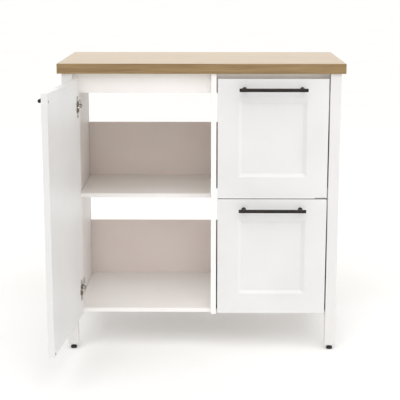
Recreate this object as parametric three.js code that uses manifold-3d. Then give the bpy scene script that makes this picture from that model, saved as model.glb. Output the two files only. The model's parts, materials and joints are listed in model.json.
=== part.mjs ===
// Kitchen counter cabinet with one hinged door and two drawers, in millimetres, +Z up.
// X runs from the door side to the drawer side, the front faces -Y, and the group's origin
// is the middle of the worktop's top face.

import * as THREE from 'three';
import { ConvexGeometry } from 'three/addons/geometries/ConvexGeometry.js';
import { mergeVertices } from 'three/addons/utils/BufferGeometryUtils.js';
import Module from 'manifold-3d';

const wasm = await Module();
wasm.setup();

// Whole cabinet
const overallHeight = 830;
const worktopWidth = 800;
const worktopDepth = 420;
const worktopThickness = 28;
const worktopEdgeRadius = 1.5;
const sideOverhang = 12;
const frontOverhang = 7;
const rearOverhang = 9;
const boardThickness = 15;
const seamGap = 0.3;

// Legs and glides
const legPostDepth = 28;
const legWingDepth = 45;
const legEndRadius = 7;
const legClearance = 12;
const glideRadius = 9;
const glidePadHeight = 7;
const glideNeckRadius = 5;
const glideChamfer = 1.5;

// Case boards
const caseBottomHeight = 108;
const bottomThickness = 12;
const dividerCentre = 34.5;
const frontRailHeight = 55;
const rearRailHeight = 59;
const shelfTopHeight = 442;
const shelfThickness = 12;
const shelfSetBack = 104;
const shelfSideClearance = 0.8;
const backStripHeight = 184;
const backStripThickness = 4;
const backStripInset = 10;
const stripAboveCaseBottom = 2;
const stripBelowShelf = 3;
const windowFromTop = 35.7;
const windowHeight = 90;
const windowFromFront = 96;
const windowFromRear = 58;
const windowCornerRadius = 16;

// Door and drawer fronts
const frontThickness = 16;
const frontSideGap = 3.5;
const frontBottomHeight = 111;
const frontTopGap = 13.7;
const drawerFrontGap = 5;
const backClearance = 2;
const frameBorder = 59;
const bevelWidth = 10;
const bevelDepth = 5;
const rebateWidth = 6;

// Handles
const handleLength = 190;
const handlePitch = 160;
const handleDiameter = 10;
const handlePostDiameter = 8;
const handleProjection = 32;
const handleFromTop = 29;

// Door hinges
const doorOpening = 95;
const hingeFromEnd = 76;
const cupRadius = 17.5;
const cupDepth = 11.5;
const cupWall = 1;
const cupEdgeDistance = 5;
const cupFlangeRadius = 20.5;
const cupFlangeThickness = 1.2;
const pivotFromDoorEdge = 1.2;
const linkMouthClearance = 2;
const linkFloorClearance = 1.8;
const linkWidth = 4;
const linkEndAngle = 86;
const linkThickness = 4;
const linkLayerOffset = 0.4;
const innerLinkRatio = 0.25;
const outerLinkRatio = 0.8;
const armHeight = 16;
const armThickness = 10;
const armLength = 60;
const armNoseGap = 1.6;
const armSlotDepth = 8;
const armSlotHeight = 10;
const armNoseLength = 16;
const armCrankLength = 4;
const plateThickness = 3.7;
const plateLength = 32;
const plateHeight = 48;
const plateFromNose = 22;

// Drawer boxes and runners
const boxSideClearance = 12.5;
const boxBoard = 12;
const boxHeight = 170;
const boxFromRear = 52.7;
const boxAboveFrontBottom = 25;
const boxBottomThickness = 4;
const boxBottomRecess = 8;
const runnerSteel = 1.2;
const runnerShorterThanBox = 15;
const runnerChannelHeight = 28;
const runnerChannelDepth = 9.6;
const runnerChannelDrop = 3;
const runnerLip = 4;
const runnerSetBack = 22;
const runnerWebHeight = 20;
const runnerFlangeWidth = 15;

const roundSegments = 24;
const cornerSegments = 6;

// Places worked out from the sizes above
const underTop = overallHeight - worktopThickness - seamGap;
const caseFront = -worktopDepth / 2 + frontOverhang;
const caseRear = worktopDepth / 2 - rearOverhang;
const caseWidth = worktopWidth - 2 * sideOverhang;
const innerWallX = caseWidth / 2 - 2 * boardThickness;
const dividerLeftX = dividerCentre - boardThickness / 2;
const dividerRightX = dividerCentre + boardThickness / 2;
const bottomTop = caseBottomHeight + bottomThickness;
const frontBack = caseFront + frontThickness + backClearance;
const doorHeight = underTop - frontTopGap - frontBottomHeight;
const drawerFrontHeight = (doorHeight - drawerFrontGap) / 2;
const doorLeftX = -innerWallX + frontSideGap;
const doorRightX = dividerLeftX - frontSideGap;
const drawerLeftX = dividerRightX + frontSideGap;
const drawerRightX = innerWallX - frontSideGap;
const pivotX = doorLeftX - pivotFromDoorEdge;
const pivotY = caseFront;
const doorBack = caseFront + frontThickness;
const boxDepth = caseRear - boxFromRear - doorBack - seamGap;
const runnerLength = boxDepth - runnerShorterThanBox;

const white = { color: 0xebe7e4, roughness: 0.5, metalness: 0 };
const finishes = {
  oakLaminate: { color: 0xa08662, roughness: 0.55, metalness: 0 },
  whiteBoard: white,
  whiteFront: { color: 0xefece8, roughness: 0.45, metalness: 0 },
  rawFibreboard: { color: 0xdbb88c, roughness: 0.8, metalness: 0 },
  boxBoard: { color: 0xd7beaa, roughness: 0.6, metalness: 0 },
  darkMetal: { color: 0x2f2b29, roughness: 0.35, metalness: 0.9 },
  nickelSteel: { color: 0x9a9894, roughness: 0.35, metalness: 1 },
  coatedSteel: { color: 0xe6e4df, roughness: 0.45, metalness: 0.1 },
  blackPlastic: { color: 0x1c1b1a, roughness: 0.6, metalness: 0 },
};

// A named mesh with its own material.
function piece(name, geometry, finish) {
  const mesh = new THREE.Mesh(geometry, new THREE.MeshStandardMaterial(finish));
  mesh.name = name;
  return mesh;
}

// A rectangular board between two corners.
function board(low, high) {
  const geometry = new THREE.BoxGeometry(high[0] - low[0], high[1] - low[1], high[2] - low[2]);
  geometry.translate((low[0] + high[0]) / 2, (low[1] + high[1]) / 2, (low[2] + high[2]) / 2);
  return geometry;
}

// A closed geometry as a manifold solid.
function solid(geometry) {
  const bare = geometry.clone();
  bare.deleteAttribute('normal');
  bare.deleteAttribute('uv');
  const merged = mergeVertices(bare, 1e-4);
  const vertProperties = new Float32Array(merged.attributes.position.array);
  const triVerts = new Uint32Array(merged.index.array);
  return new wasm.Manifold(new wasm.Mesh({ numProp: 3, vertProperties, triVerts }));
}

// A manifold solid as a flat-shaded geometry.
function geometryOf(shape) {
  const mesh = shape.getMesh();
  const geometry = new THREE.BufferGeometry();
  geometry.setAttribute('position', new THREE.BufferAttribute(mesh.vertProperties, 3));
  geometry.setIndex(new THREE.BufferAttribute(mesh.triVerts, 1));
  const flat = geometry.toNonIndexed();
  flat.computeVertexNormals();
  return flat;
}

// An outline in X and Y, carried up from a height.
function extrudeUp(shape, bottom, height) {
  const geometry = new THREE.ExtrudeGeometry(shape, extrusion(height));
  geometry.translate(0, 0, bottom);
  return geometry;
}

// An outline in Y and Z, carried along X.
function extrudeAcross(shape, start, width) {
  const geometry = new THREE.ExtrudeGeometry(shape, extrusion(width));
  const turn = new THREE.Matrix4().makeBasis(
    new THREE.Vector3(0, 1, 0),
    new THREE.Vector3(0, 0, 1),
    new THREE.Vector3(1, 0, 0),
  );
  geometry.applyMatrix4(turn);
  geometry.translate(start, 0, 0);
  return geometry;
}

// An outline in X and Z, carried along Y.
function extrudeBack(shape, start, depth) {
  const geometry = new THREE.ExtrudeGeometry(shape, extrusion(depth));
  const turn = new THREE.Matrix4().makeBasis(
    new THREE.Vector3(1, 0, 0),
    new THREE.Vector3(0, 0, 1),
    new THREE.Vector3(0, -1, 0),
  );
  geometry.applyMatrix4(turn);
  geometry.translate(0, start + depth, 0);
  return geometry;
}

function extrusion(depth) {
  return { depth, bevelEnabled: false, curveSegments: cornerSegments };
}

function outline(points) {
  return new THREE.Shape(points.map(([x, y]) => new THREE.Vector2(x, y)));
}

// A rectangle whose corners are arcs, listed anticlockwise from the lower left corner.
function roundedRectangle(left, bottom, right, top, radii) {
  const [lowerLeft, lowerRight, upperRight, upperLeft] = radii;
  const shape = new THREE.Shape();
  shape.moveTo(left + lowerLeft, bottom);
  shape.lineTo(right - lowerRight, bottom);
  if (lowerRight > 0) shape.absarc(right - lowerRight, bottom + lowerRight, lowerRight, -Math.PI / 2, 0);
  shape.lineTo(right, top - upperRight);
  if (upperRight > 0) shape.absarc(right - upperRight, top - upperRight, upperRight, 0, Math.PI / 2);
  shape.lineTo(left + upperLeft, top);
  if (upperLeft > 0) shape.absarc(left + upperLeft, top - upperLeft, upperLeft, Math.PI / 2, Math.PI);
  shape.lineTo(left, bottom + lowerLeft);
  if (lowerLeft > 0) shape.absarc(left + lowerLeft, bottom + lowerLeft, lowerLeft, Math.PI, 1.5 * Math.PI);
  return shape;
}

// Worktop slab with its long edges eased.
function worktop() {
  const top = roundedRectangle(
    -worktopDepth / 2,
    overallHeight - worktopThickness,
    worktopDepth / 2,
    overallHeight,
    [worktopEdgeRadius, worktopEdgeRadius, worktopEdgeRadius, worktopEdgeRadius],
  );
  return extrudeAcross(top, -worktopWidth / 2, worktopWidth);
}

// A leg is two boards joined to an L: an inner post and a deeper wing along the side.
function leg(side, end) {
  const outerX = caseWidth / 2;
  const seamX = outerX - boardThickness;
  const faceY = end < 0 ? caseFront : caseRear;
  const section = outline([
    [side * innerWallX, faceY],
    [side * outerX, faceY],
    [side * outerX, faceY - end * legWingDepth],
    [side * seamX, faceY - end * legWingDepth],
    [side * seamX, faceY - end * legPostDepth],
    [side * innerWallX, faceY - end * legPostDepth],
  ]);
  const height = underTop - legClearance;
  const innerX = side < 0 ? -outerX : innerWallX;
  const nearY = Math.min(faceY, faceY - end * legWingDepth);
  const r = legEndRadius;
  const frontView = roundedRectangle(innerX, legClearance, innerX + 2 * boardThickness, underTop, [r, r, 0, 0]);
  const sideView = roundedRectangle(nearY, legClearance, nearY + legWingDepth, underTop, [r, r, 0, 0]);
  const shape = solid(extrudeUp(section, legClearance, height))
    .intersect(solid(extrudeBack(frontView, nearY - 1, legWingDepth + 2)))
    .intersect(solid(extrudeAcross(sideView, innerX - 1, 2 * boardThickness + 2)));
  return geometryOf(shape);
}

// Screw-in levelling glide: a round pad on a neck, standing under the leg's post.
function glide(side, end) {
  const profile = [
    [0, 0],
    [glideRadius - glideChamfer, 0],
    [glideRadius, glideChamfer],
    [glideRadius, glidePadHeight - glideChamfer],
    [glideRadius - glideChamfer, glidePadHeight],
    [glideNeckRadius, glidePadHeight],
    [glideNeckRadius, legClearance - seamGap],
    [0, legClearance - seamGap],
  ];
  const geometry = revolve(profile);
  geometry.rotateX(Math.PI / 2);
  const faceY = end < 0 ? caseFront : caseRear;
  geometry.translate(side * (caseWidth / 2 - boardThickness), faceY - end * legPostDepth / 2, 0);
  return geometry;
}

function revolve(profile) {
  const points = profile.map(([radius, height]) => new THREE.Vector2(radius, height));
  return new THREE.LatheGeometry(points, roundSegments);
}

// A side panel stands between the posts, behind the wings.
function sidePanel(side) {
  const inner = side * innerWallX;
  const outer = side * (caseWidth / 2 - boardThickness - seamGap);
  return board(
    [Math.min(inner, outer), caseFront + legPostDepth + seamGap, caseBottomHeight],
    [Math.max(inner, outer), caseRear - legPostDepth - seamGap, underTop],
  );
}

// The divider is notched for the bottom panel and the rear rail, and has a round-cornered window.
function divider() {
  const profile = outline([
    [caseFront, caseBottomHeight],
    [frontBack, caseBottomHeight],
    [frontBack, bottomTop + seamGap],
    [caseRear, bottomTop + seamGap],
    [caseRear, underTop - rearRailHeight - seamGap],
    [caseRear - boardThickness - seamGap, underTop - rearRailHeight - seamGap],
    [caseRear - boardThickness - seamGap, underTop],
    [caseFront, underTop],
  ]);
  const windowTop = underTop - windowFromTop;
  const r = windowCornerRadius;
  profile.holes.push(roundedRectangle(
    caseFront + windowFromFront,
    windowTop - windowHeight,
    caseRear - windowFromRear,
    windowTop,
    [r, r, r, r],
  ));
  return extrudeAcross(profile, dividerLeftX, boardThickness);
}

// The bottom panel lies between the side panels, behind the door and the lower drawer front.
function bottomPanel() {
  return board(
    [-innerWallX + seamGap, frontBack + seamGap, caseBottomHeight],
    [innerWallX - seamGap, caseRear, bottomTop],
  );
}

// The loose shelf of the door bay rests on four pins.
function shelf() {
  return board(
    [-innerWallX + shelfSideClearance, caseFront + shelfSetBack, shelfTopHeight - shelfThickness],
    [dividerLeftX - shelfSideClearance, caseRear - seamGap, shelfTopHeight],
  );
}

// A rail under the worktop, behind the door or the upper drawer front.
function frontRail(left, right) {
  return board(
    [left + seamGap, frontBack + seamGap, underTop - frontRailHeight],
    [right - seamGap, frontBack + seamGap + boardThickness, underTop],
  );
}

// The rear rail runs between the rear legs and across the notched divider.
function rearRail() {
  return board(
    [-innerWallX + seamGap, caseRear - boardThickness, underTop - rearRailHeight],
    [innerWallX - seamGap, caseRear, underTop],
  );
}

// Raw strips nailed across the back, over the rear legs.
function backStrip(bottom) {
  const halfWidth = caseWidth / 2 - backStripInset;
  return board(
    [-halfWidth, caseRear + seamGap, bottom],
    [halfWidth, caseRear + seamGap + backStripThickness, bottom + backStripHeight],
  );
}

// Eight corners of a sunken field whose walls slope inwards towards the back.
function slopedField(left, right, bottom, top) {
  const points = [];
  const lead = 1;
  const slope = bevelWidth / bevelDepth;
  for (const [depth, inset] of [[-lead, -lead * slope], [bevelDepth, bevelWidth]]) {
    for (const x of [left + inset, right - inset]) {
      for (const z of [bottom + inset, top - inset]) {
        points.push(new THREE.Vector3(x, caseFront + depth, z));
      }
    }
  }
  return new ConvexGeometry(points);
}

// The frame of a door or drawer front: bevelled round its field, rebated behind for the panel.
function frontFrame(left, right, bottom, top) {
  const field = slopedField(left + frameBorder, right - frameBorder, bottom + frameBorder, top - frameBorder);
  const border = frameBorder + bevelWidth - rebateWidth;
  const rebate = board(
    [left + border, caseFront + bevelDepth, bottom + border],
    [right - border, doorBack + 1, top - border],
  );
  return solid(board([left, caseFront, bottom], [right, doorBack, top]))
    .subtract(solid(field))
    .subtract(solid(rebate));
}

// The panel fills the frame from behind, flush with the frame's back.
function frontPanel(left, right, bottom, top) {
  const border = frameBorder + bevelWidth - rebateWidth + seamGap;
  const face = caseFront + bevelDepth + seamGap;
  return board(
    [left + border, face, bottom + border],
    [right - border, doorBack, top - border],
  );
}

// Bar handle: a round bar on two round posts, standing on the front face.
function handle(centreX, top) {
  const height = top - handleFromTop;
  const barY = caseFront - handleProjection + handleDiameter / 2;
  const bar = new THREE.CylinderGeometry(
    handleDiameter / 2,
    handleDiameter / 2,
    handleLength,
    roundSegments,
  );
  bar.rotateZ(Math.PI / 2);
  bar.translate(centreX, barY, height);
  let shape = solid(bar);
  for (const side of [-1, 1]) {
    const postLength = caseFront - seamGap - barY;
    const post = new THREE.CylinderGeometry(
      handlePostDiameter / 2,
      handlePostDiameter / 2,
      postLength,
      roundSegments,
    );
    post.translate(centreX + side * handlePitch / 2, barY + postLength / 2, height);
    shape = shape.add(solid(post));
  }
  return geometryOf(shape);
}

function hingeHeights() {
  return {
    upper: frontBottomHeight + doorHeight - hingeFromEnd,
    lower: frontBottomHeight + hingeFromEnd,
  };
}

const cupX = doorLeftX + cupEdgeDistance + cupRadius;

// The door's frame, bored from behind for its two hinge cups.
function doorFrame() {
  let shape = frontFrame(doorLeftX, doorRightX, frontBottomHeight, frontBottomHeight + doorHeight);
  for (const height of Object.values(hingeHeights())) {
    const depth = cupDepth + seamGap + 1;
    const bore = new THREE.CylinderGeometry(cupRadius + seamGap, cupRadius + seamGap, depth, roundSegments);
    bore.translate(cupX, doorBack - cupDepth - seamGap + depth / 2, height);
    shape = shape.subtract(solid(bore));
  }
  return geometryOf(shape);
}

// Pressed hinge cup with a round flange on the back of the door.
function hingeCup(height) {
  const inner = cupRadius - cupWall;
  const profile = [
    [0, -cupDepth],
    [cupRadius, -cupDepth],
    [cupRadius, seamGap],
    [cupFlangeRadius, seamGap],
    [cupFlangeRadius, cupFlangeThickness],
    [inner, cupFlangeThickness],
    [inner, cupWall - cupDepth],
    [0, cupWall - cupDepth],
  ];
  const geometry = revolve(profile);
  geometry.translate(cupX, doorBack, height);
  return geometry;
}

// A curved link of the concealed hinge, about the door's pivot, as it lies with the door closed.
// It passes the mouth of the cup beside its flange, and starts just above the cup's floor.
function hingeLink(bottom) {
  const mouthDepth = frontThickness + cupFlangeThickness;
  const mouthEdge = pivotFromDoorEdge + cupEdgeDistance + cupWall + linkMouthClearance;
  const linkInnerRadius = Math.hypot(mouthDepth, mouthEdge);
  const linkOuterRadius = linkInnerRadius + linkWidth;
  const floorDepth = frontThickness - cupDepth + cupWall + linkFloorClearance;
  const start = Math.asin(floorDepth / linkInnerRadius);
  const end = THREE.MathUtils.degToRad(linkEndAngle);
  const shape = new THREE.Shape();
  shape.absarc(0, 0, linkOuterRadius, start, end, false);
  shape.absarc(0, 0, linkInnerRadius, end, start, true);
  return extrudeUp(shape, bottom, linkThickness);
}

// The hinge arm: a cranked bar whose forked nose holds the links.
function hingeArm(height) {
  const wallX = -innerWallX + seamGap;
  const armInner = wallX + plateThickness + seamGap;
  const armOuter = armInner + armThickness;
  const noseY = doorBack + cupFlangeThickness + armNoseGap;
  const endY = noseY + armLength;
  const profile = outline([
    [wallX, noseY],
    [armOuter, noseY],
    [armOuter, endY],
    [armInner, endY],
    [armInner, noseY + armNoseLength + armCrankLength],
    [wallX, noseY + armNoseLength],
  ]);
  const slot = board(
    [wallX - 1, noseY - 1, height - armSlotHeight / 2],
    [armOuter + 1, noseY + armSlotDepth, height + armSlotHeight / 2],
  );
  const shape = solid(extrudeUp(profile, height - armHeight / 2, armHeight)).subtract(solid(slot));
  return geometryOf(shape);
}

// Mounting plate screwed to the side panel under the hinge arm.
function hingePlate(height) {
  const wallX = -innerWallX + seamGap;
  const startY = doorBack + cupFlangeThickness + armNoseGap + plateFromNose;
  return board(
    [wallX, startY, height - plateHeight / 2],
    [wallX + plateThickness, startY + plateLength, height + plateHeight / 2],
  );
}

// The outer faces of a drawer box whose front's lower edge is at a given height.
function boxPlace(frontBottom) {
  return {
    left: dividerRightX + boxSideClearance,
    right: innerWallX - boxSideClearance,
    front: doorBack + seamGap,
    back: doorBack + seamGap + boxDepth,
    bottom: frontBottom + boxAboveFrontBottom,
    top: frontBottom + boxAboveFrontBottom + boxHeight,
  };
}

function boxSide(box, side) {
  const outer = side < 0 ? box.left : box.right;
  const inner = outer - side * boxBoard;
  return board(
    [Math.min(outer, inner), box.front, box.bottom],
    [Math.max(outer, inner), box.back, box.top],
  );
}

function boxEnd(box, front, height) {
  return board(
    [box.left + boxBoard + seamGap, front, box.bottom],
    [box.right - boxBoard - seamGap, front + boxBoard, box.bottom + height],
  );
}

// The thin bottom lies between the four walls, a little above their lower edges.
function boxBottom(box) {
  return board(
    [box.left + boxBoard + seamGap, box.front + boxBoard + seamGap, box.bottom + boxBottomRecess],
    [
      box.right - boxBoard - seamGap,
      box.back - boxBoard - seamGap,
      box.bottom + boxBottomRecess + boxBottomThickness,
    ],
  );
}

// Case half of a runner: a lipped channel screwed to the wall.
function caseRunner(box, side) {
  const wallX = side < 0 ? dividerRightX + seamGap : innerWallX - seamGap;
  const low = box.bottom - runnerChannelDrop;
  const high = low + runnerChannelHeight;
  const reach = (distance) => wallX - side * distance;
  const profile = outline([
    [reach(0), low],
    [reach(runnerChannelDepth), low],
    [reach(runnerChannelDepth), low + runnerLip],
    [reach(runnerChannelDepth - runnerSteel), low + runnerLip],
    [reach(runnerChannelDepth - runnerSteel), low + runnerSteel],
    [reach(runnerSteel), low + runnerSteel],
    [reach(runnerSteel), high - runnerSteel],
    [reach(runnerChannelDepth - runnerSteel), high - runnerSteel],
    [reach(runnerChannelDepth - runnerSteel), high - runnerLip],
    [reach(runnerChannelDepth), high - runnerLip],
    [reach(runnerChannelDepth), high],
    [reach(0), high],
  ]);
  return extrudeBack(profile, caseFront + runnerSetBack, runnerLength);
}

// Drawer half of a runner: an angle wrapped under the box's lower edge.
function boxRunner(box, side) {
  const wallX = side < 0 ? box.left - seamGap : box.right + seamGap;
  const reach = (distance) => wallX - side * distance;
  const under = box.bottom - seamGap;
  const profile = outline([
    [reach(-runnerSteel), under - runnerSteel],
    [reach(runnerFlangeWidth), under - runnerSteel],
    [reach(runnerFlangeWidth), under],
    [reach(0), under],
    [reach(0), under + runnerWebHeight],
    [reach(-runnerSteel), under + runnerWebHeight],
  ]);
  return extrudeBack(profile, caseFront + runnerSetBack, runnerLength);
}

const cabinet = new THREE.Group();
cabinet.position.z = -overallHeight;

function fixedCase() {
  const sides = { left: -1, right: 1 };
  const ends = { front: -1, rear: 1 };
  cabinet.add(piece('worktop', worktop(), finishes.oakLaminate));
  for (const [sideName, side] of Object.entries(sides)) {
    for (const [endName, end] of Object.entries(ends)) {
      cabinet.add(piece(`leg_${endName}_${sideName}`, leg(side, end), finishes.whiteBoard));
      cabinet.add(piece(`glide_${endName}_${sideName}`, glide(side, end), finishes.blackPlastic));
    }
    cabinet.add(piece(`side_panel_${sideName}`, sidePanel(side), finishes.whiteBoard));
  }
  cabinet.add(piece('divider_panel', divider(), finishes.whiteBoard));
  cabinet.add(piece('bottom_panel', bottomPanel(), finishes.whiteBoard));
  cabinet.add(piece('shelf', shelf(), finishes.whiteBoard));
  cabinet.add(piece('front_rail_left', frontRail(-innerWallX, dividerLeftX), finishes.whiteBoard));
  cabinet.add(piece('front_rail_right', frontRail(dividerRightX, innerWallX), finishes.whiteBoard));
  cabinet.add(piece('rear_rail', rearRail(), finishes.whiteBoard));
  const lowerStripBottom = caseBottomHeight + stripAboveCaseBottom;
  const upperStripBottom = shelfTopHeight - shelfThickness - stripBelowShelf;
  cabinet.add(piece('back_strip_lower', backStrip(lowerStripBottom), finishes.rawFibreboard));
  cabinet.add(piece('back_strip_upper', backStrip(upperStripBottom), finishes.rawFibreboard));
}

// Pieces drawn with the door closed, turned about the pivot by an opening angle.
function swung(angle, pieces) {
  const closed = new THREE.Group();
  closed.position.set(-pivotX, -pivotY, 0);
  closed.add(...pieces);
  const turned = new THREE.Group();
  turned.position.set(pivotX, pivotY, 0);
  turned.rotation.z = -THREE.MathUtils.degToRad(angle);
  turned.add(closed);
  cabinet.add(turned);
}

function door() {
  const top = frontBottomHeight + doorHeight;
  const pieces = [
    piece('door_frame', doorFrame(), finishes.whiteFront),
    piece('door_panel', frontPanel(doorLeftX, doorRightX, frontBottomHeight, top), finishes.whiteFront),
    piece('door_handle', handle((doorLeftX + doorRightX) / 2, top), finishes.darkMetal),
  ];
  for (const [name, height] of Object.entries(hingeHeights())) {
    pieces.push(piece(`hinge_cup_${name}`, hingeCup(height), finishes.nickelSteel));
    cabinet.add(piece(`hinge_arm_${name}`, hingeArm(height), finishes.nickelSteel));
    cabinet.add(piece(`hinge_plate_${name}`, hingePlate(height), finishes.nickelSteel));
    hingeLinks(name, height);
  }
  swung(doorOpening, pieces);
}

// Two links of one hinge lie one above the other, and turn by their own share of the door's angle.
function hingeLinks(name, height) {
  const layers = [
    ['inner', innerLinkRatio, height + linkLayerOffset],
    ['outer', outerLinkRatio, height - linkLayerOffset - linkThickness],
  ];
  for (const [layer, ratio, bottom] of layers) {
    const geometry = hingeLink(bottom);
    geometry.translate(pivotX, pivotY, 0);
    swung(doorOpening * ratio, [piece(`hinge_link_${layer}_${name}`, geometry, finishes.nickelSteel)]);
  }
}

function drawer(name, bottom) {
  const top = bottom + drawerFrontHeight;
  const frame = geometryOf(frontFrame(drawerLeftX, drawerRightX, bottom, top));
  const panel = frontPanel(drawerLeftX, drawerRightX, bottom, top);
  const box = boxPlace(bottom);
  const backFace = box.back - boxBoard;
  cabinet.add(piece(`drawer_${name}_frame`, frame, finishes.whiteFront));
  cabinet.add(piece(`drawer_${name}_panel`, panel, finishes.whiteFront));
  cabinet.add(piece(`drawer_${name}_handle`, handle((drawerLeftX + drawerRightX) / 2, top), finishes.darkMetal));
  cabinet.add(piece(`drawer_${name}_box_front`, boxEnd(box, box.front, boxHeight), finishes.boxBoard));
  cabinet.add(piece(`drawer_${name}_box_back`, boxEnd(box, backFace, boxHeight), finishes.boxBoard));
  cabinet.add(piece(`drawer_${name}_box_bottom`, boxBottom(box), finishes.boxBoard));
  for (const [sideName, side] of Object.entries({ left: -1, right: 1 })) {
    cabinet.add(piece(`drawer_${name}_box_${sideName}`, boxSide(box, side), finishes.boxBoard));
    cabinet.add(piece(`drawer_${name}_runner_${sideName}`, boxRunner(box, side), finishes.coatedSteel));
    cabinet.add(piece(`case_runner_${name}_${sideName}`, caseRunner(box, side), finishes.coatedSteel));
  }
}

fixedCase();
door();
drawer('lower', frontBottomHeight);
drawer('upper', frontBottomHeight + drawerFrontHeight + drawerFrontGap);

export default cabinet;
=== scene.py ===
# Kitchen counter cabinet with one hinged door and two drawers, in metres. The origin is the middle
# of the worktop's top face, +Z is up and the front faces -Y. The door stands open at rest.
import json
import math
import bmesh
import bpy
import numpy as np
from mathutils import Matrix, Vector


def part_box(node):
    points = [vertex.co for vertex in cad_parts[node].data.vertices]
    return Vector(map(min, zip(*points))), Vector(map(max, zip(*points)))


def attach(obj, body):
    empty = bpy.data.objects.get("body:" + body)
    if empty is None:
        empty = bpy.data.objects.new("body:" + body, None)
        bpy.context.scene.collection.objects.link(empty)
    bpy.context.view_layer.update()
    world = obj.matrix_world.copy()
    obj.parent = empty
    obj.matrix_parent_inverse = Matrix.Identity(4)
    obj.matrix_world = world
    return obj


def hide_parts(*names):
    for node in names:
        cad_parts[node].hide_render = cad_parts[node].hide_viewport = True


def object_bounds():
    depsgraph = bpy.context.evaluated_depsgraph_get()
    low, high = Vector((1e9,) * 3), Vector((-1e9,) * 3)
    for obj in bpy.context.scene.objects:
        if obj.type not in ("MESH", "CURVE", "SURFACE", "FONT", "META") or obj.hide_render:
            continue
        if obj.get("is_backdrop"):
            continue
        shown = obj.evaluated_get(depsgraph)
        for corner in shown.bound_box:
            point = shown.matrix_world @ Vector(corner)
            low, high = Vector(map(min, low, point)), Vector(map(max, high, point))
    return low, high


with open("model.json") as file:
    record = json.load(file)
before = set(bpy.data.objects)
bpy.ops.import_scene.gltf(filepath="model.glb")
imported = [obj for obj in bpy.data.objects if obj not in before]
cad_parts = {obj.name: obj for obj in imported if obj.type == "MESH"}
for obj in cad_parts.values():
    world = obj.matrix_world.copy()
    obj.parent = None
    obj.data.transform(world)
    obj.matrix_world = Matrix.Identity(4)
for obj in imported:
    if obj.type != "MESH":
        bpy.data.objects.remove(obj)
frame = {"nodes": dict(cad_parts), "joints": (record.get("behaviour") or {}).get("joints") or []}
cad_low, cad_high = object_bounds()

# Camera
# A long lens on a stand in front of the cabinet, a little above the worktop, looking down at the
# cabinet's middle.
camera_place = Vector((0.029, -3.281, 0.266))
camera_aim = Vector((-0.006, 0.0, -0.428))
camera_lens = 100

camera_data = bpy.data.cameras.new("studio_camera")
camera_data.lens = camera_lens
camera = bpy.data.objects.new("studio_camera", camera_data)
bpy.context.scene.collection.objects.link(camera)
camera.location = camera_place
camera.rotation_euler = (camera_aim - camera_place).to_track_quat("-Z", "Y").to_euler()
bpy.context.scene.camera = camera

# Studio light
# A white room lights the cabinet from everywhere, and is brighter where it is seen or mirrored. A
# very broad light from above whitens the floor, a soft box at the right reaches into the open door,
# one over the lens fills, and a long one behind puts a sheen on the level boards.
room_colour = (1.0, 0.992, 0.985, 1.0)
room_strength = 0.73
backdrop_strength = 1.04
overhead_strength = 1.15
overhead_spread = math.radians(60)
overhead_from = Vector((-0.05, -0.7, 1.0))
soft_boxes = {
    "side_soft_box": ((3.2, -1.1, 0.0), (1.6, 1.6), 16),
    "lens_soft_box": ((0.1, -3.5, 1.4), (1.6, 1.2), 5),
    "rear_soft_box": ((0.0, 3.8, 0.85), (3.2, 1.0), 9),
}

room = bpy.data.worlds.new("white_room")
room.use_nodes = True
lit = room.node_tree.nodes["Background"]
lit.inputs["Color"].default_value = room_colour
lit.inputs["Strength"].default_value = room_strength
backdrop = room.node_tree.nodes.new("ShaderNodeBackground")
backdrop.inputs["Color"].default_value = room_colour
backdrop.inputs["Strength"].default_value = backdrop_strength
ray = room.node_tree.nodes.new("ShaderNodeLightPath").outputs
seen = room.node_tree.nodes.new("ShaderNodeMath")
seen.operation = "MAXIMUM"
both = room.node_tree.nodes.new("ShaderNodeMixShader")
for output, place in (
    (ray["Is Camera Ray"], seen.inputs[0]), (ray["Is Glossy Ray"], seen.inputs[1]),
    (seen.outputs[0], both.inputs[0]), (lit.outputs[0], both.inputs[1]),
    (backdrop.outputs[0], both.inputs[2]),
):
    room.node_tree.links.new(output, place)
surface = room.node_tree.nodes["World Output"].inputs["Surface"]
room.node_tree.links.new(both.outputs[0], surface)
bpy.context.scene.world = room
bpy.context.scene.view_settings.view_transform = "Standard"

overhead_data = bpy.data.lights.new("overhead_soft_light", "SUN")
overhead_data.energy = overhead_strength
overhead_data.angle = overhead_spread
overhead = bpy.data.objects.new("overhead_soft_light", overhead_data)
bpy.context.scene.collection.objects.link(overhead)
overhead.rotation_euler = overhead_from.to_track_quat("Z", "Y").to_euler()
for name, (place, (width, height), power) in soft_boxes.items():
    light = bpy.data.lights.new(name, "AREA")
    light.shape = "RECTANGLE"
    light.size, light.size_y = width, height
    light.energy = power
    soft_box = bpy.data.objects.new(name, light)
    bpy.context.scene.collection.objects.link(soft_box)
    soft_box.location = place
    soft_box.rotation_euler = (camera_aim - Vector(place)).to_track_quat("-Z", "Y").to_euler()
    soft_box.visible_camera = False

# Floor
# Seamless pale studio vinyl, laid flat far beyond the cabinet. It isn't part of the object.
floor_reach = 40
floor_colours = ("#fbfbfa", "#fdfdfc")
floor_patch_size = 0.6


def linear(code):
    """The linear colour of an sRGB hex value."""
    share = np.array([int(code[at:at + 2], 16) for at in (1, 3, 5)]) / 255
    channels = np.where(share <= 0.04045, share / 12.92, ((share + 0.055) / 1.055) ** 2.4)
    return (*channels, 1.0)


def add(tree, kind, inputs=None, **settings):
    """Adds a node. Settings are its own properties, and inputs are values or outputs to link."""
    node = tree.nodes.new(kind)
    for key, value in settings.items():
        setattr(node, key, value)
    for key, value in (inputs or {}).items():
        if isinstance(value, bpy.types.NodeSocket):
            tree.links.new(value, node.inputs[key])
        else:
            node.inputs[key].default_value = value
    return node


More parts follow.
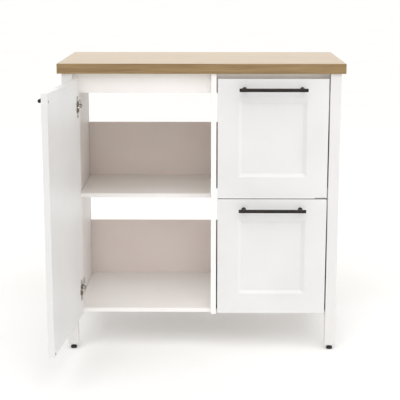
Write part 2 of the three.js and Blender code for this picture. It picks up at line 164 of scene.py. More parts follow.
def start_finish(name, sockets):
    """A material whose uniform values stand on its shader, with its tree and object coordinates."""
    material = bpy.data.materials.new(name)
    material.use_nodes = True
    tree = material.node_tree
    shader = tree.nodes["Principled BSDF"]
    for key, value in sockets.items():
        shader.inputs[key].default_value = value
    place = tree.nodes.new("ShaderNodeTexCoord").outputs["Object"]
    return material, tree, shader, place


def patches(tree, place, size, detail=2.0, stretch=(1, 1, 1), distortion=0.0):
    """Cloudy noise with patches of a real size in metres, longer along an axis by its stretch."""
    scale = [1 / (size * times) for times in stretch]
    placed = add(tree, "ShaderNodeMapping", {"Vector": place, "Scale": scale})
    noise = add(tree, "ShaderNodeTexNoise", {
        "Vector": placed.outputs["Vector"], "Scale": 1.0, "Detail": detail,
        "Distortion": distortion,
    })
    return noise.outputs["Fac"]


def shades(tree, factor, stops):
    """Colours along a factor, as (position, hex value) stops."""
    ramp = add(tree, "ShaderNodeValToRGB", {"Fac": factor})
    while len(ramp.color_ramp.elements) < len(stops):
        ramp.color_ramp.elements.new(0.5)
    for element, (position, code) in zip(ramp.color_ramp.elements, stops):
        element.position = position
        element.color = linear(code)
    return ramp.outputs["Color"]


def relief(tree, shader, height, depth):
    """Raises the surface by a height pattern whose full depth is given in metres."""
    bump = add(tree, "ShaderNodeBump", {"Height": height, "Distance": depth, "Strength": 1.0})
    tree.links.new(bump.outputs["Normal"], shader.inputs["Normal"])


def studio_vinyl():
    # Calendered vinyl: matt and even, with a faint cloudiness.
    material, tree, shader, place = start_finish(
        "studio_vinyl_calendered", {"Roughness": 0.8, "Specular IOR Level": 0.15})
    cloud = patches(tree, place, floor_patch_size)
    tone = shades(tree, cloud, [(0.3, floor_colours[0]), (0.7, floor_colours[1])])
    tree.links.new(tone, shader.inputs["Base Color"])
    return material


floor_mesh = bpy.data.meshes.new("studio_floor")
corners = np.array([(-1, -1), (1, -1), (1, 1), (-1, 1)]) * floor_reach
floor_points = np.column_stack([corners, np.full(4, cad_low.z)])
floor_mesh.from_pydata(floor_points.tolist(), [], [(0, 1, 2, 3)])
floor_mesh.materials.append(studio_vinyl())
studio_floor = bpy.data.objects.new("studio_floor", floor_mesh)
bpy.context.scene.collection.objects.link(studio_floor)
studio_floor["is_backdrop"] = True

# Worktop
# A 28 mm particle board, faced in oak-printed melamine paper with a satin pressed surface. A band
# with a slightly darker print is glued round its four edges, and the faces are printed lighter
# still
# as painted light: the extra light and sheen that the top takes from above. It lies on the legs,
# the divider and the rails, screwed up from below.
worktop_edge_radius = 0.0015
same_point = 1e-6
flat_within = 0.02
crease_angle = math.radians(40)
# The face colours are lighter than the edge colours, partly as painted light for the top's light
# and sheen.
oak_face_print_and_painted_light_colours = [(0.28, "#927a50"), (0.44, "#a68d62"), (0.58, "#b59b70"), (0.75, "#c6ae85")]
oak_edge_colours = [(0.28, "#745a38"), (0.44, "#896e47"), (0.58, "#987d55"), (0.75, "#ac926a")]


def eased_board(low, high, radius, steps=2):
    """A board with rounded edges. Each side is a grid on the plain box. A point is clamped to the
    box that is smaller by the radius, and pushed out from there by the radius, the way it came."""
    low, high = np.array(low, float), np.array(high, float)
    inner_low, inner_high = low + radius, high - radius
    past = radius * np.tan(np.linspace(0, np.pi / 4, steps + 1))
    ticks = [
        np.concatenate([inner_low[k] - past[::-1], inner_high[k] + past]) for k in range(3)
    ]
    points, faces, sides, count = [], [], [], 0
    for k in range(3):
        i, j = (k + 1) % 3, (k + 2) % 3
        for end, level in ((-1, low[k]), (1, high[k])):
            grid = np.empty((len(ticks[i]), len(ticks[j]), 3))
            grid[..., i], grid[..., j] = np.meshgrid(ticks[i], ticks[j], indexing="ij")
            grid[..., k] = level
            near = np.clip(grid, inner_low, inner_high)
            away = grid - near
            grid = near + radius * away / np.linalg.norm(away, axis=-1, keepdims=True)
            quads = grid_quads(len(ticks[i]), len(ticks[j]))
            faces.append(quads[:, ::end] + count)
            sides.append(np.full(len(quads), 2 * k + (end > 0)))
            points.append(grid.reshape(-1, 3))
            count += len(points[-1])
    return np.concatenate(points), np.concatenate(faces), np.concatenate(sides)


def grid_quads(rows, columns):
    """The four corners of each cell of a grid whose points are listed row by row."""
    at = np.arange(rows * columns).reshape(rows, columns)
    return np.stack([at[:-1, :-1], at[1:, :-1], at[1:, 1:], at[:-1, 1:]], -1).reshape(-1, 4)


def make(name, shells, finishes, body, stands_for=(), smooth=False, flat_joined=False):
    """One object from closed shells of (points, faces, and the finish of each face if there are
    several). Doubled points are merged, and every face is turned outwards."""
    shell_mesh = bpy.data.meshes.new(name)
    points = np.concatenate([shell[0].reshape(-1, 3) for shell in shells])
    starts = np.cumsum([0] + [len(shell[0].reshape(-1, 3)) for shell in shells])
    faces = [face for shell, start in zip(shells, starts) for face in (shell[1] + start).tolist()]
    shell_mesh.from_pydata(points.tolist(), [], faces)
    finishes = finishes if isinstance(finishes, list) else [finishes]
    for finish in finishes:
        shell_mesh.materials.append(finish)
    if len(finishes) > 1:
        kinds = np.concatenate([shell[2] for shell in shells]).astype(np.int32)
        shell_mesh.polygons.foreach_set("material_index", kinds)
    work = bmesh.new()
    work.from_mesh(shell_mesh)
    bmesh.ops.remove_doubles(work, verts=work.verts, dist=same_point)
    if flat_joined:
        bmesh.ops.dissolve_limit(work, angle_limit=flat_within, verts=work.verts,
                                 edges=work.edges, delimit={"MATERIAL"})
    bmesh.ops.recalc_face_normals(work, faces=work.faces)
    work.to_mesh(shell_mesh)
    work.free()
    if smooth:
        shell_mesh.shade_smooth()
        shell_mesh.set_sharp_from_angle(angle=crease_angle)
    made = bpy.data.objects.new(name, shell_mesh)
    bpy.context.scene.collection.objects.link(made)
    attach(made, body)
    if stands_for:
        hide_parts(*stands_for)
    return made


def board_for(node, radius, finishes, body, face_finish=None):
    """An eased board in the place of a CAD board. The six sides may take different finishes."""
    points, faces, sides = eased_board(*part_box(node), radius)
    kinds = np.array(face_finish)[sides] if face_finish else np.zeros(len(sides))
    return make(f"{node}_board", [(points, faces, kinds)], finishes, body, [node])


def oak_print(name, colours):
    # Oak-printed melamine: flat satin sheen, grain only in colour with shallow pressed pores. Broad
    # growth bands are 11 mm apart. Pores are drawn 3 mm wide, coarser than real ones, so they show.
    material, tree, shader, place = start_finish(name, {"Roughness": 0.36})
    bands = patches(tree, place, 0.011, 3.0, (28, 1, 1), 0.6)
    pores = patches(tree, place, 0.003, 2.0, (26, 1, 1))
    blend = add(tree, "ShaderNodeMix", {"Factor": 0.42, "A": bands, "B": pores})
    tree.links.new(shades(tree, blend.outputs["Result"], colours), shader.inputs["Base Color"])
    relief(tree, shader, pores, 0.0002)
    return material


oak_face_print_and_painted_light = oak_print("oak_print_melamine_pressed_and_painted_light", oak_face_print_and_painted_light_colours)
oak_edge = oak_print("oak_print_edge_band_glued", oak_edge_colours)
points, faces, sides = eased_board(*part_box("worktop"), worktop_edge_radius, 3)
make("worktop_slab", [(points, faces, sides < 4)], [oak_face_print_and_painted_light, oak_edge], "case",
     ["worktop"])

# Legs and side panels
# Each leg is two 15 mm fibreboards glued to an L, an inner post and a deeper wing, with rounded
# feet, sprayed to match the fronts. The side panels are let in between the posts, held by dowels
# and wrapped in white foil. The legs' white is painted greyer than the foil, as painted shade
# that tones down the light falling on the front.
case_white_colours = [(0.3, "#f3efec"), (0.7, "#f6f3f1")]
# Painted shade: the legs' white is a light grey, darker than the case's foil, for the light on the
# front.
leg_white_painted_shade_colours = [(0.3, "#dddbda"), (0.7, "#e2e0df")]
case_edge_radius = 0.0008
least_bevelled_corner = math.radians(32)


def eased_copy(name, nodes, width, finishes, body, kinds=None, kept_sharp=None):
    """CAD shapes copied, with their flat faces joined and their corners bevelled by a width. An
    edge stays sharp where both of its ends are among the points that are kept sharp."""
    shells = []
    for node in nodes:
        source = frame["nodes"][node].data
        points = np.empty(len(source.vertices) * 3)
        source.vertices.foreach_get("co", points)
        corners = np.empty(len(source.polygons) * 3, int)
        source.polygons.foreach_get("vertices", corners)
        points, corners = points.reshape(-1, 3), corners.reshape(-1, 3)
        kind = kinds(points[corners]) if kinds else np.zeros(len(corners))
        shells.append((points, corners, kind))
    made = make(name, shells, finishes, body, nodes, flat_joined=True)
    bevel = made.modifiers.new("eased_corners", "BEVEL")
    bevel.width = width
    bevel.segments = 2
    bevel.limit_method = "ANGLE"
    bevel.angle_limit = least_bevelled_corner
    if kept_sharp:
        bevel.limit_method = "WEIGHT"
        points = np.empty(len(made.data.vertices) * 3)
        made.data.vertices.foreach_get("co", points)
        ends = np.empty(len(made.data.edges) * 2, int)
        made.data.edges.foreach_get("vertices", ends)
        eased = ~kept_sharp(points.reshape(-1, 3))[ends.reshape(-1, 2)].all(1)
        weight = made.data.attributes.new("bevel_weight_edge", "FLOAT", "EDGE")
        weight.data.foreach_set("value", eased.astype(np.float32))
    return made


def white_wrap(name, colours, roughness, peel):
    # White foil or lacquer on fibreboard: satin, very slightly uneven, with a fine orange peel that
    # is drawn three times as coarse as a real one of 1 mm so that it shows.
    material, tree, shader, place = start_finish(name, {"Roughness": roughness, "IOR": 1.5})
    cloud = patches(tree, place, 0.16, 3.0)
    tree.links.new(shades(tree, cloud, colours), shader.inputs["Base Color"])
    relief(tree, shader, patches(tree, place, 0.003, 1.0), peel)
    return material


case_white = white_wrap("white_foil_wrapped_fibreboard", case_white_colours, 0.42, 0.00004)
leg_white_painted_shade = white_wrap("white_lacquer_sprayed_leg_painted_shade", leg_white_painted_shade_colours, 0.4, 0.00004)
for end in ("front", "rear"):
    for side in ("left", "right"):
        leg = f"leg_{end}_{side}"
        eased_copy(f"{leg}_sprayed", [leg], case_edge_radius, leg_white_painted_shade, "case")
for side in ("left", "right"):
    board_for(f"side_panel_{side}", case_edge_radius, case_white, "case")

# Divider
# A notched upright board with a round-cornered window near its top. Its faces and front edge are
# foiled, and the sawn edge of the window shows the bare particle board.
chip_colours = [(0.25, "#7d5c3c"), (0.5, "#a58057"), (0.75, "#c5a277")]
window_middle = (0.018, -0.109)
window_reach = (0.14, 0.055)
divider_edge_radius = 0.0006


def chipboard_core():
    # Bare particle board: pressed chips of 4 mm, sawn, dull and open.
    material, tree, shader, place = start_finish("particle_board_sawn", {"Roughness": 0.9})
    chips = patches(tree, place, 0.004, 3.0)
    tree.links.new(shades(tree, chips, chip_colours), shader.inputs["Base Color"])
    relief(tree, shader, chips, 0.0004)
    return material


def sawn_or_foiled(triangles):
    """1 for the triangles of the window's sawn edge, which lie near it and face along Y or Z."""
    middle = triangles.mean(1)
    normal = np.cross(triangles[:, 1] - triangles[:, 0], triangles[:, 2] - triangles[:, 0])
    edgewise = np.abs(normal[:, 0]) < 0.5 * np.linalg.norm(normal, axis=1)
    inside = np.all(np.abs(middle[:, 1:] - window_middle) < window_reach, axis=1)
    return (edgewise & inside).astype(int)


chipboard = chipboard_core()
eased_copy("divider_panel_cut", ["divider_panel"], divider_edge_radius,
           [case_white, chipboard], "case", sawn_or_foiled)

# Bottom panel, shelf and shelf pins
# Two thin foiled boards. The bottom is dowelled between the sides, and the loose shelf lies on four
# nickel-plated steel pegs, two in the side panel and two in the divider.
pin_radius = 0.0025
pin_collar = 0.004
pin_reach = 0.009
pin_inset = 0.045
nickel_colours = [(0.3, "#a9a49b"), (0.7, "#c2beb6")]


def placed(local, centre, out):
    """Turns points so that their own Z axis points out, and moves them to a centre."""
    out = np.array(out, float)
    side = np.array([0.0, 0.0, 1.0]) if abs(out[2]) < 0.5 else np.array([1.0, 0.0, 0.0])
    axes = np.stack([side, np.cross(out, side), out])
    return local @ axes + np.array(centre, float)


def turned(profile, centre, out, around=32):
    """A profile of (height, radius) rows carried once round an axis. A point is its height along
    the axis plus its radius along a direction that turns with the angle."""
    heights, radii = np.array(profile, float).T
    angles = np.linspace(0, 2 * np.pi, around + 1)
    local = np.empty((len(radii), around + 1, 3))
    local[..., 0] = radii[:, None] * np.cos(angles)
    local[..., 1] = radii[:, None] * np.sin(angles)
    local[..., 2] = heights[:, None]
    return placed(local, centre, out), grid_quads(len(radii), around + 1)


def nickel_plated():
    # Nickel on pressed steel: bright, a little warm, softly uneven from the plating bath.
    sockets = {"Metallic": 1.0}
    material, tree, shader, place = start_finish("steel_nickel_plated", sockets)
    cloud = patches(tree, place, 0.006, 2.0)
    tree.links.new(shades(tree, cloud, nickel_colours), shader.inputs["Base Color"])
    polish = add(tree, "ShaderNodeMapRange", {"Value": cloud, "To Min": 0.24, "To Max": 0.4})
    tree.links.new(polish.outputs["Result"], shader.inputs["Roughness"])
    relief(tree, shader, cloud, 0.00003)
    return material


nickel = nickel_plated()
board_for("bottom_panel", case_edge_radius, case_white, "case")
board_for("shelf", case_edge_radius, case_white, "case")

shelf_low, shelf_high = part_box("shelf")
left_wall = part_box("side_panel_left")[1].x
divider_left, divider_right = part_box("divider_panel")[0].x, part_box("divider_panel")[1].x
pin_profile = [
    (0, 0), (0, pin_collar), (0.0012, pin_collar), (0.0016, pin_radius),
    (pin_reach - 0.0005, pin_radius), (pin_reach, pin_radius - 0.0005), (pin_reach, 0),
]
for name, wall, out in (("left", left_wall, 1), ("right", divider_left, -1)):
    pins = []
    for along in (shelf_low.y + pin_inset, shelf_high.y - pin_inset):
        centre = (wall, along, shelf_low.z - pin_collar)
        pins.append(turned(pin_profile, centre, (out, 0, 0), 16))
    make(f"shelf_pins_{name}", pins, nickel, "case", smooth=True)

# Rails and cam locks
# Three foiled rails tie the sides together under the worktop. They are drawn up with nickel-plated
# zinc cams in round pockets, two at each end of a rail, each with a cross slot.
cam_radius = 0.0075
cam_inset = 0.034
cam_from_edge = 0.016
cam_rise = 0.0004


def cross_head(centre, out, radius, rise, sunk=0.001):
    """A round head on a polar grid: a shallow dome, lower by the cross's depth on every fourth
    radius as far as the cross reaches, with a straight skirt and a flat back."""
    rings = np.array([0.0, 1.0, 1.0, 0.92, 0.7, 0.66, 0.3, 0.0]) * radius
    angles = np.arange(17) * np.pi / 8
    local = np.empty((len(rings), len(angles), 3))
    local[..., 0] = rings[:, None] * np.cos(angles)
    local[..., 1] = rings[:, None] * np.sin(angles)
    dome = rise * (1 - 0.6 * (rings / radius) ** 2)
    dome[:2] = -sunk
    dome[2] = 0.2 * rise
    local[..., 2] = dome[:, None]
    cross = (np.arange(17) % 4 == 0) & (np.arange(len(rings)) >= 5)[:, None]
    cross[-1] = True
    local[..., 2] -= cross * (0.8 * rise)
    return placed(local, centre, out), grid_quads(len(rings), len(angles))


for rail, out in (("front_rail_left", 1), ("front_rail_right", 1), ("rear_rail", -1)):
    board_for(rail, case_edge_radius, case_white, "case")
    low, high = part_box(rail)
    face = high.y if out > 0 else low.y
    cams = []
    for along in (low.x + cam_inset, high.x - cam_inset):
        for height in (low.z + cam_from_edge, high.z - cam_from_edge):
            cams.append(cross_head((along, face, height), (0, out, 0), cam_radius, cam_rise))
    make(f"{rail}_cams", cams, nickel, "case")

# Back strips
# Two strips of 4 mm hardboard, raw and brown outside and white-faced inside, nailed across the back
# through their ends and into the divider with small flat-headed nails.
# The inner face's pinkish tint is partly painted light: the warm light bounced off the wood inside
# the cabinet.
painted_face_tint_and_bounce_colours = [(0.3, "#efe3dc"), (0.7, "#f3e9e3")]
hardboard_colours = [(0.25, "#d0ab7c"), (0.45, "#dcb98c"), (0.6, "#e2c196"), (0.8, "#eaceaa")]
strip_edge_radius = 0.0004
nail_radius = 0.0016
nail_depth = 0.002
nail_rise = 0.0004
nail_from_end = 0.009
nail_from_side = 0.02
nail_rows = 4


def raw_hardboard():
    # Hot-pressed wood fibre: matt, mottled in patches of some 60 mm, with fine brown fibres. The
    # fibres are drawn 3 mm wide, coarser than real ones, so that they show.
    sockets = {"Roughness": 0.82, "Specular IOR Level": 0.3}
    material, tree, shader, place = start_finish("hardboard_hot_pressed_raw", sockets)
    mottle = patches(tree, place, 0.06, 4.0)
    fibre = patches(tree, place, 0.003, 4.0, (2, 1, 1), 1.5)
    blend = add(tree, "ShaderNodeMix", {"Factor": 0.55, "A": mottle, "B": fibre})
    tone = shades(tree, blend.outputs["Result"], hardboard_colours)
    tree.links.new(tone, shader.inputs["Base Color"])
    relief(tree, shader, fibre, 0.0002)
    return material


hardboard = raw_hardboard()
painted_face_and_bounce = white_wrap("white_paint_rolled_hardboard_with_painted_bounce", painted_face_tint_and_bounce_colours, 0.5, 0.00004)
nail_profile = [
    (-nail_depth, 0), (-nail_depth, nail_radius), (0.0, nail_radius),
    (nail_rise, 0.8 * nail_radius), (nail_rise, 0),
]
for strip in ("back_strip_lower", "back_strip_upper"):
    board_for(strip, strip_edge_radius, [hardboard, painted_face_and_bounce], "case",
              [0, 0, 1, 0, 0, 0])
    low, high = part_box(strip)
    divider_middle = (divider_left + divider_right) / 2
    nails = []
    for along in (low.x + nail_from_end, divider_middle, high.x - nail_from_end):
        for height in np.linspace(low.z + nail_from_side, high.z - nail_from_side, nail_rows):
            nails.append(turned(nail_profile, (along, high.y, height), (0, 1, 0), 10))
    make(f"{strip}_nails", nails, nickel, "case")

# Door and drawer fronts
# 16 mm fibreboard frames with a bevelled inner edge round a sunk panel, sprayed with white satin
# lacquer on every side. The panel is let in flush from behind, where lacquer fills its seam. The
# door hangs on its two hinges, and the drawer fronts are screwed to their boxes.
# Painted shade: the lacquer's white is a light grey, darker than the case's foil, to tone down the
# light that falls on the fronts.
front_white_painted_shade_colours = [(0.3, "#dedddd"), (0.7, "#e3e3e2")]
front_edge_radius = 0.0009
frame_lip_inset = 0.060
frame_lip_depth = 0.0045
panel_seam = 0.00028
panel_edge_radius = 0.00004

door_joint = next(joint for joint in frame["joints"] if joint["name"] == "door_hinge")
pivot = np.array(door_joint["pos_m"])
door_opening = math.radians(-door_joint["range_deg"][0])


def swung(points, angle):
    """Points of the door turned about the upright line of its pivot by an angle."""
    turn = np.array([
        [math.cos(angle), -math.sin(angle), 0], [math.sin(angle), math.cos(angle), 0], [0, 0, 1],
    ])
    return (points - pivot) @ turn.T + pivot


def opened(shells):
    """Shells drawn with the door closed, as they lie with the door open at rest."""
    return [(swung(shell[0], -door_opening), *shell[1:]) for shell in shells]


def closed_box(node):
    """The lowest and highest corner of a door's CAD node as it lies with the door closed."""
    vertices = frame["nodes"][node].data.vertices
    points = np.empty(len(vertices) * 3)
    vertices.foreach_get("co", points)
    points = swung(points.reshape(-1, 3), door_opening)
    return Vector(points.min(0)), Vector(points.max(0))


front_white_painted_shade = white_wrap("white_lacquer_sprayed_fibreboard_painted_shade", front_white_painted_shade_colours, 0.38, 0.00003)
front_boxes = {}
for front in ("door", "drawer_upper", "drawer_lower"):
    box_of = closed_box if front == "door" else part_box
    low, high = box_of(f"{front}_frame")
    front_boxes[front] = (low, high, box_of(f"{front}_handle"))

    def at_lip(points, low=low, high=high, front=front):
        """Whether points lie at the frame's lip and rebate, where the panel's edge is hidden."""
        closed = swung(points, door_opening) if front == "door" else points
        inset = np.minimum(closed - np.array(low), np.array(high) - closed)
        return (np.minimum(inset[:, 0], inset[:, 2]) > frame_lip_inset) & (
            closed[:, 1] - low.y > frame_lip_depth)

    eased_copy(f"{front}_frame_lacquered", [f"{front}_frame"], front_edge_radius, front_white_painted_shade,
               front, kept_sharp=at_lip)
    low, high = box_of(f"{front}_panel")
    grown = Vector((panel_seam, 0, panel_seam))
    panel = [eased_board(low - grown, high + grown, panel_edge_radius)]
    panel = opened(panel) if front == "door" else panel
    make(f"{front}_panel_lacquered", panel, front_white_painted_shade, front, [f"{front}_panel"])

# Handles
# Round steel bars 10 mm thick with softly rounded ends, on two turned posts with a small foot,
# plated a dark bronze. Each is held by two screws from behind, under flat white nylon caps.
handle_radius = 0.005
handle_pitch = 0.160
bar_end_radius = 0.0022
post_radius = 0.004
foot_radius = 0.0062
foot_height = 0.0022
cap_radius = 0.0046
cap_height = 0.0014
bronze_colours = [(0.3, "#262220"), (0.7, "#332e2b")]


def bronze_plated():
    # Dark bronze plating on steel: nearly black, satin, with a faint drift from polishing.
    material, tree, shader, place = start_finish("steel_dark_bronze_plated", {"Metallic": 0.85})
    drift = patches(tree, place, 0.004, 2.0, (5, 1, 1))
    tree.links.new(shades(tree, drift, bronze_colours), shader.inputs["Base Color"])
    satin = add(tree, "ShaderNodeMapRange", {"Value": drift, "To Min": 0.3, "To Max": 0.42})
    tree.links.new(satin.outputs["Result"], shader.inputs["Roughness"])
    return material


def bar_handle(low, high):
    """A bar with rounded ends along X, and two posts from the bar's middle back to the front."""
    middle, height = (low.x + high.x) / 2, (low.z + high.z) / 2
    length, bar_y = high.x - low.x, low.y + handle_radius
    turns = np.linspace(0, np.pi / 2, 6)
    ease = bar_end_radius
    inner = handle_radius - ease
    end = np.column_stack([length - ease + ease * np.sin(turns), inner + ease * np.cos(turns)])
    start = np.column_stack([length - end[::-1, 0], end[::-1, 1]])
    profile = np.concatenate([[(0, 0)], start, end, [(length, 0)]])
    shells = [turned(profile, (low.x, bar_y, height), (1, 0, 0), 40)]
    reach = high.y - bar_y
    post = [
        (0, 0), (0, post_radius), (reach - foot_height - 0.003, post_radius),
        (reach - foot_height, post_radius + 0.0006), (reach - foot_height + 0.0004, foot_radius),
        (reach, foot_radius), (reach, 0),
    ]
    for side in (-1, 1):
        centre = (middle + side * handle_pitch / 2, bar_y, height)
        shells.append(turned(post, centre, (0, 1, 0), 32))
    return shells


def moulded_nylon():
    # Injection-moulded nylon: waxy off-white with a fine spark-eroded grain.
    sockets = {"Roughness": 0.45, "IOR": 1.53, "Subsurface Weight": 0.1}
    material, tree, shader, place = start_finish("nylon_injection_moulded", sockets)
    grain = patches(tree, place, 0.0009, 1.0)
    tone = shades(tree, grain, [(0.3, "#e9e7df"), (0.7, "#f1efe8")])
    tree.links.new(tone, shader.inputs["Base Color"])
    relief(tree, shader, grain, 0.00003)
    return material


bronze, nylon = bronze_plated(), moulded_nylon()
cap_profile = [
    (-0.0005, 0), (-0.0005, cap_radius), (0.0004, cap_radius), (0.001, cap_radius - 0.0005),
    (cap_height, 0.6 * cap_radius), (cap_height, 0),
]
for front, (_, frame_high, (low, high)) in front_boxes.items():
    middle, height = (low.x + high.x) / 2, (low.z + high.z) / 2
    bar = bar_handle(low, high)
    caps = [
        turned(cap_profile, (middle + side * handle_pitch / 2, frame_high.y, height), (0, 1, 0), 24)
        for side in (-1, 1)
    ]
    if front == "door":
        bar, caps = opened(bar), opened(caps)
    make(f"{front}_handle_bar", bar, bronze, front, [f"{front}_handle"],
         smooth=True)
    make(f"{front}_handle_caps", caps, nylon, front, smooth=True)

# Door bumpers
# Two soft clear polyurethane dots, stuck inside the door near its free edge, where the rail and
# the bottom panel stop it.
bumper_radius = 0.004
bumper_height = 0.0017
bumper_from_edge = 0.012
bumper_from_bottom = 0.006
bumper_from_top = 0.02


def clear_polyurethane():
    # Cast polyurethane: soft, milky clear, with a smooth skin over fine bubbles.
    sockets = {"Roughness": 0.25, "IOR": 1.5, "Transmission Weight": 0.6}
    material, tree, shader, place = start_finish("polyurethane_cast_clear", sockets)
    bubbles = patches(tree, place, 0.0008, 1.0)
    tone = shades(tree, bubbles, [(0.3, "#e4e4e1"), (0.7, "#f2f2f0")])
    tree.links.new(tone, shader.inputs["Base Color"])
    return material


door_low, door_high = front_boxes["door"][:2]
turns = np.linspace(0, np.pi / 2, 6)
bumper_profile = np.concatenate([
    [(0, 0), (0, bumper_radius)],
    np.column_stack([bumper_height * np.sin(turns), bumper_radius * (0.45 + 0.55 * np.cos(turns))]),
    [(bumper_height, 0)],
])
dots = [
    turned(bumper_profile, (door_high.x - bumper_from_edge, door_high.y, height), (0, 1, 0), 20)
    for height in (door_low.z + bumper_from_bottom, door_high.z - bumper_from_top)
]
make("door_bumpers", opened(dots), clear_polyurethane(), "door", smooth=True)

# Drawer boxes
# 12 mm particle boards with a pale ash print, dowelled at the corners, round a thin bottom. The
# grain runs along each board, and the top edges carry a band of the same paper.
box_edge_radius = 0.0007
ash_colours = [(0.25, "#cdb5a0"), (0.5, "#dbc6b3"), (0.75, "#e6d5c4")]


def ash_print(name, stretch):
    # Ash-printed melamine: matt satin, low contrast. Growth lines are 7 mm apart, and pores are
    # drawn 2.5 mm wide, coarser than real ones, so that they show.
    material, tree, shader, place = start_finish(name, {"Roughness": 0.5})
    bands = patches(tree, place, 0.007, 3.0, stretch, 0.5)
    pores = patches(tree, place, 0.0025, 2.0, stretch)
    blend = add(tree, "ShaderNodeMix", {"Factor": 0.4, "A": bands, "B": pores})
    tree.links.new(shades(tree, blend.outputs["Result"], ash_colours), shader.inputs["Base Color"])
    relief(tree, shader, pores, 0.0001)
    return material


ash_along = ash_print("ash_print_melamine_along_box", (1, 24, 1))
ash_across = ash_print("ash_print_melamine_across_box", (24, 1, 1))
for drawer in ("drawer_upper", "drawer_lower"):
    for wall, ash in (("left", ash_along), ("right", ash_along), ("bottom", ash_along),
                      ("front", ash_across), ("back", ash_across)):
        board_for(f"{drawer}_box_{wall}", box_edge_radius, ash, drawer)

# Drawer runners
# Rolled steel, coated in cream epoxy. The fixed half is a lipped channel screwed to the wall, the
# moving half an angle screwed under the box, and each carries one nylon roller.
roller_radius = 0.0118
roller_width = 0.0062
axle_radius = 0.0032
roller_from_web = 0.0052
roller_from_end = 0.014
runner_screw_radius = 0.0034
screws_per_runner = 3
runner_steel = 0.0012
channel_screws_from = (0.045, 0.03)
channel_screw_rise = 0.001
angle_screws_from = (0.03, 0.05)
angle_screw_rise = 0.0005
angle_screw_below_top = 0.006
epoxy_colours = [(0.3, "#e6e3da"), (0.7, "#ece9e1")]


def epoxy_coated():
    # Baked epoxy powder: smooth, semi-gloss, with a soft ripple 2 mm across.
    sockets = {"Roughness": 0.33, "IOR": 1.5}
    material, tree, shader, place = start_finish("steel_epoxy_powder_coated", sockets)
    ripple = patches(tree, place, 0.002, 1.0)
    tree.links.new(shades(tree, ripple, epoxy_colours), shader.inputs["Base Color"])
    relief(tree, shader, ripple, 0.00005)
    return material


def roller(centre, out):
    """A wheel with a dished face, crowned at its rim, with the head of its axle in the middle."""
    half, rim, axle = roller_width / 2, roller_radius, axle_radius
    profile = [
        (-half, 0), (-half, rim - 0.0008), (-half + 0.0008, rim), (half - 0.0008, rim),
        (half, rim - 0.0008), (half, rim - 0.0026), (half - 0.001, rim - 0.0034),
        (half - 0.001, axle + 0.0012), (half, axle), (half + 0.0006, axle - 0.0008),
        (half + 0.0006, 0),
    ]
    return turned(profile, centre, out, 32)


epoxy = epoxy_coated()
for drawer in ("upper", "lower"):
    body = f"drawer_{drawer}"
    for side, out in (("left", 1), ("right", -1)):
        channel, angle = f"case_runner_{drawer}_{side}", f"{body}_runner_{side}"
        for node in (channel, angle):
            for place in frame["nodes"][node].material_slots:
                place.material = epoxy
        low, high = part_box(channel)
        wall = low.x if out > 0 else high.x
        middle = (low.z + high.z) / 2
        fixed_roller = roller(
            (wall + out * roller_from_web, low.y + roller_from_end, middle), (out, 0, 0))
        make(f"{channel}_roller", [fixed_roller], nylon, "case", smooth=True)
        first, last = channel_screws_from
        heads = [
            cross_head((wall + out * runner_steel, along, middle), (out, 0, 0),
                       runner_screw_radius, channel_screw_rise)
            for along in np.linspace(low.y + first, high.y - last, screws_per_runner)
        ]
        make(f"{channel}_screws", heads, nickel, "case")
        low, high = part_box(angle)
        web = low.x if out > 0 else high.x
        moving_roller = roller(
            (web - out * roller_from_web, high.y - roller_from_end, middle), (-out, 0, 0))
        make(f"{angle}_roller", [moving_roller], nylon, body, smooth=True)
        first, last = angle_screws_from
        heads = [
            cross_head((web, along, high.z - angle_screw_below_top), (-out, 0, 0),
                       runner_screw_radius, angle_screw_rise)
            for along in np.linspace(low.y + first, high.y - last, screws_per_runner)
        ]
        make(f"{angle}_screws", heads, nickel, body)

# Door hinges
# Two concealed hinges of nickel-plated pressed steel. The cup is let into the door and screwed
# through its wings, two links join it to a cranked arm, and the arm sits on a plate on the side.
cup_radius = 0.0175
cup_wall = 0.001
cup_lip = 0.0205
lip_gap = 0.0003
wing_reach = 0.030
wing_half_width = 0.009
wing_thickness = 0.0011
wing_gap = 0.0002
wing_edge_radius = 0.0004
wing_screw_from_middle = 0.0245
wing_screw_rise = 0.0009
hinge_screw_radius = 0.0036
hinge_screw_rise = 0.001
saddle_half_width = 0.0085
ear_from_middle = 0.008
ear_inset = 0.006
ear_share = 0.6
ear_screw_from_middle = 0.0165
ear_screw_radius = 0.0042
plate_edge_radius = 0.0008
hinge_edge_radius = 0.0005
link_edge_radius = 0.0003
arm_screws_along = (0.025, 0.046)


def hinge_cup(node):
    """A pressed cup with a rolled lip, turned round Y, with two rounded wings on the door."""
    low, high = closed_box(node)
    middle_x, middle_z = (low.x + high.x) / 2, (low.z + high.z) / 2
    depth, mouth = high.y - low.y, cup_radius - cup_wall
    lip_back = door_high.y - low.y + lip_gap
    profile = [
        (0, 0), (0, cup_radius - 0.0015), (0.0006, cup_radius - 0.0004), (0.0016, cup_radius),
        (lip_back, cup_radius), (lip_back, cup_lip), (depth - 0.0004, cup_lip),
        (depth, cup_lip - 0.0004), (depth, mouth + 0.0006), (depth - 0.0006, mouth),
        (cup_wall + 0.002, mouth), (cup_wall + 0.0006, mouth - 0.0006), (cup_wall, mouth - 0.002),
        (cup_wall, 0),
    ]
    shells = [turned(profile, (middle_x, low.y, middle_z), (0, 1, 0), 48)]
    for side in (-1, 1):
        near, far = middle_z + side * cup_radius, middle_z + side * wing_reach
        wing = eased_board(
            (middle_x - wing_half_width, door_high.y + wing_gap, min(near, far)),
            (middle_x + wing_half_width, door_high.y + wing_thickness, max(near, far)),
            wing_edge_radius,
        )
        shells.append(wing[:2])
    wing_face = door_high.y + wing_thickness
    heads = [
        cross_head((middle_x, wing_face, middle_z + side * wing_screw_from_middle),
                   (0, 1, 0), hinge_screw_radius, wing_screw_rise)
        for side in (-1, 1)
    ]
    return shells + heads


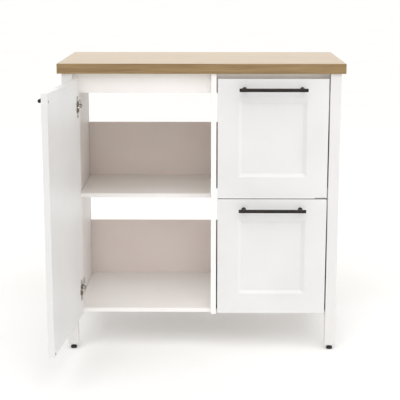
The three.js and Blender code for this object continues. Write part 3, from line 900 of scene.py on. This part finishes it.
def hinge_plate(low, high):
    """A raised saddle between two thinner ears, each with a screw into the side panel."""
    thick, middle = high.x - low.x, (low.z + high.z) / 2
    along = (low.y + high.y) / 2
    saddle = eased_board((low.x, low.y, middle - saddle_half_width),
                         (high.x, high.y, middle + saddle_half_width), plate_edge_radius)
    shells = [saddle[:2]]
    for side in (-1, 1):
        near = middle + side * ear_from_middle
        far = high.z if side > 0 else low.z
        ear = eased_board(
            (low.x, low.y + ear_inset, min(near, far)),
            (low.x + ear_share * thick, high.y - ear_inset, max(near, far)),
            plate_edge_radius,
        )
        shells.append(ear[:2])
        centre = (low.x + ear_share * thick, along, middle + side * ear_screw_from_middle)
        shells.append(cross_head(centre, (1, 0, 0), ear_screw_radius, hinge_screw_rise))
    return shells


for level in ("upper", "lower"):
    cup, plate, arm = f"hinge_cup_{level}", f"hinge_plate_{level}", f"hinge_arm_{level}"
    make(f"{cup}_pressed", opened(hinge_cup(cup)), nickel, "door", [cup],
         smooth=True)
    make(f"{plate}_pressed", hinge_plate(*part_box(plate)), nickel, "case", [plate])
    eased_copy(f"{arm}_pressed", [arm], hinge_edge_radius, nickel, "case")
    low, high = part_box(arm)
    heads = [
        cross_head((high.x, low.y + along, (low.z + high.z) / 2), (1, 0, 0),
                   hinge_screw_radius, hinge_screw_rise)
        for along in arm_screws_along
    ]
    make(f"{arm}_screws", heads, nickel, "case")
    for layer in ("inner", "outer"):
        link = f"hinge_link_{layer}_{level}"
        eased_copy(f"{link}_pressed", [link], link_edge_radius, nickel,
                   f"link_{layer}_{level}")

# Glides
# Black moulded feet on a threaded stem, one under each leg, screwed in or out to level the cabinet.
glide_colours = [(0.3, "#171717"), (0.7, "#201f1f")]
glide_edge = 0.0016
pad_top = 0.007
stem_radius = 0.0044
thread_radius = 0.0050
thread_pitch = 0.0012


def black_plastic():
    # Injection-moulded polypropylene: black, semi-matt, with a fine mould grain.
    sockets = {"Roughness": 0.5, "IOR": 1.49}
    material, tree, shader, place = start_finish("polypropylene_injection_moulded", sockets)
    grain = patches(tree, place, 0.0008, 1.0)
    tree.links.new(shades(tree, grain, glide_colours), shader.inputs["Base Color"])
    relief(tree, shader, grain, 0.00005)
    return material


plastic = black_plastic()
for end in ("front", "rear"):
    for side in ("left", "right"):
        node = f"glide_{end}_{side}"
        low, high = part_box(node)
        radius, tall = (high.x - low.x) / 2, high.z - low.z
        turns = np.linspace(0, np.pi / 2, 5)
        lower = np.column_stack([glide_edge * (1 - np.cos(turns)),
                                 radius - glide_edge * (1 - np.sin(turns))])
        upper = np.column_stack([pad_top - lower[::-1, 0], lower[::-1, 1]])
        ridges = np.arange(pad_top, tall - thread_pitch / 2, thread_pitch / 2)
        stem = np.column_stack([ridges, np.where(np.arange(len(ridges)) % 2, thread_radius,
                                                 stem_radius)])
        profile = np.concatenate([[(0, 0)], lower, upper, stem, [(tall, stem_radius), (tall, 0)]])
        centre = ((low.x + high.x) / 2, (low.y + high.y) / 2, low.z)
        make(f"{node}_moulded", [turned(profile, centre, (0, 0, 1), 32)], plastic, node,
             [node], smooth=True)

# Size of the CAD model and of the visual model
low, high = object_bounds()
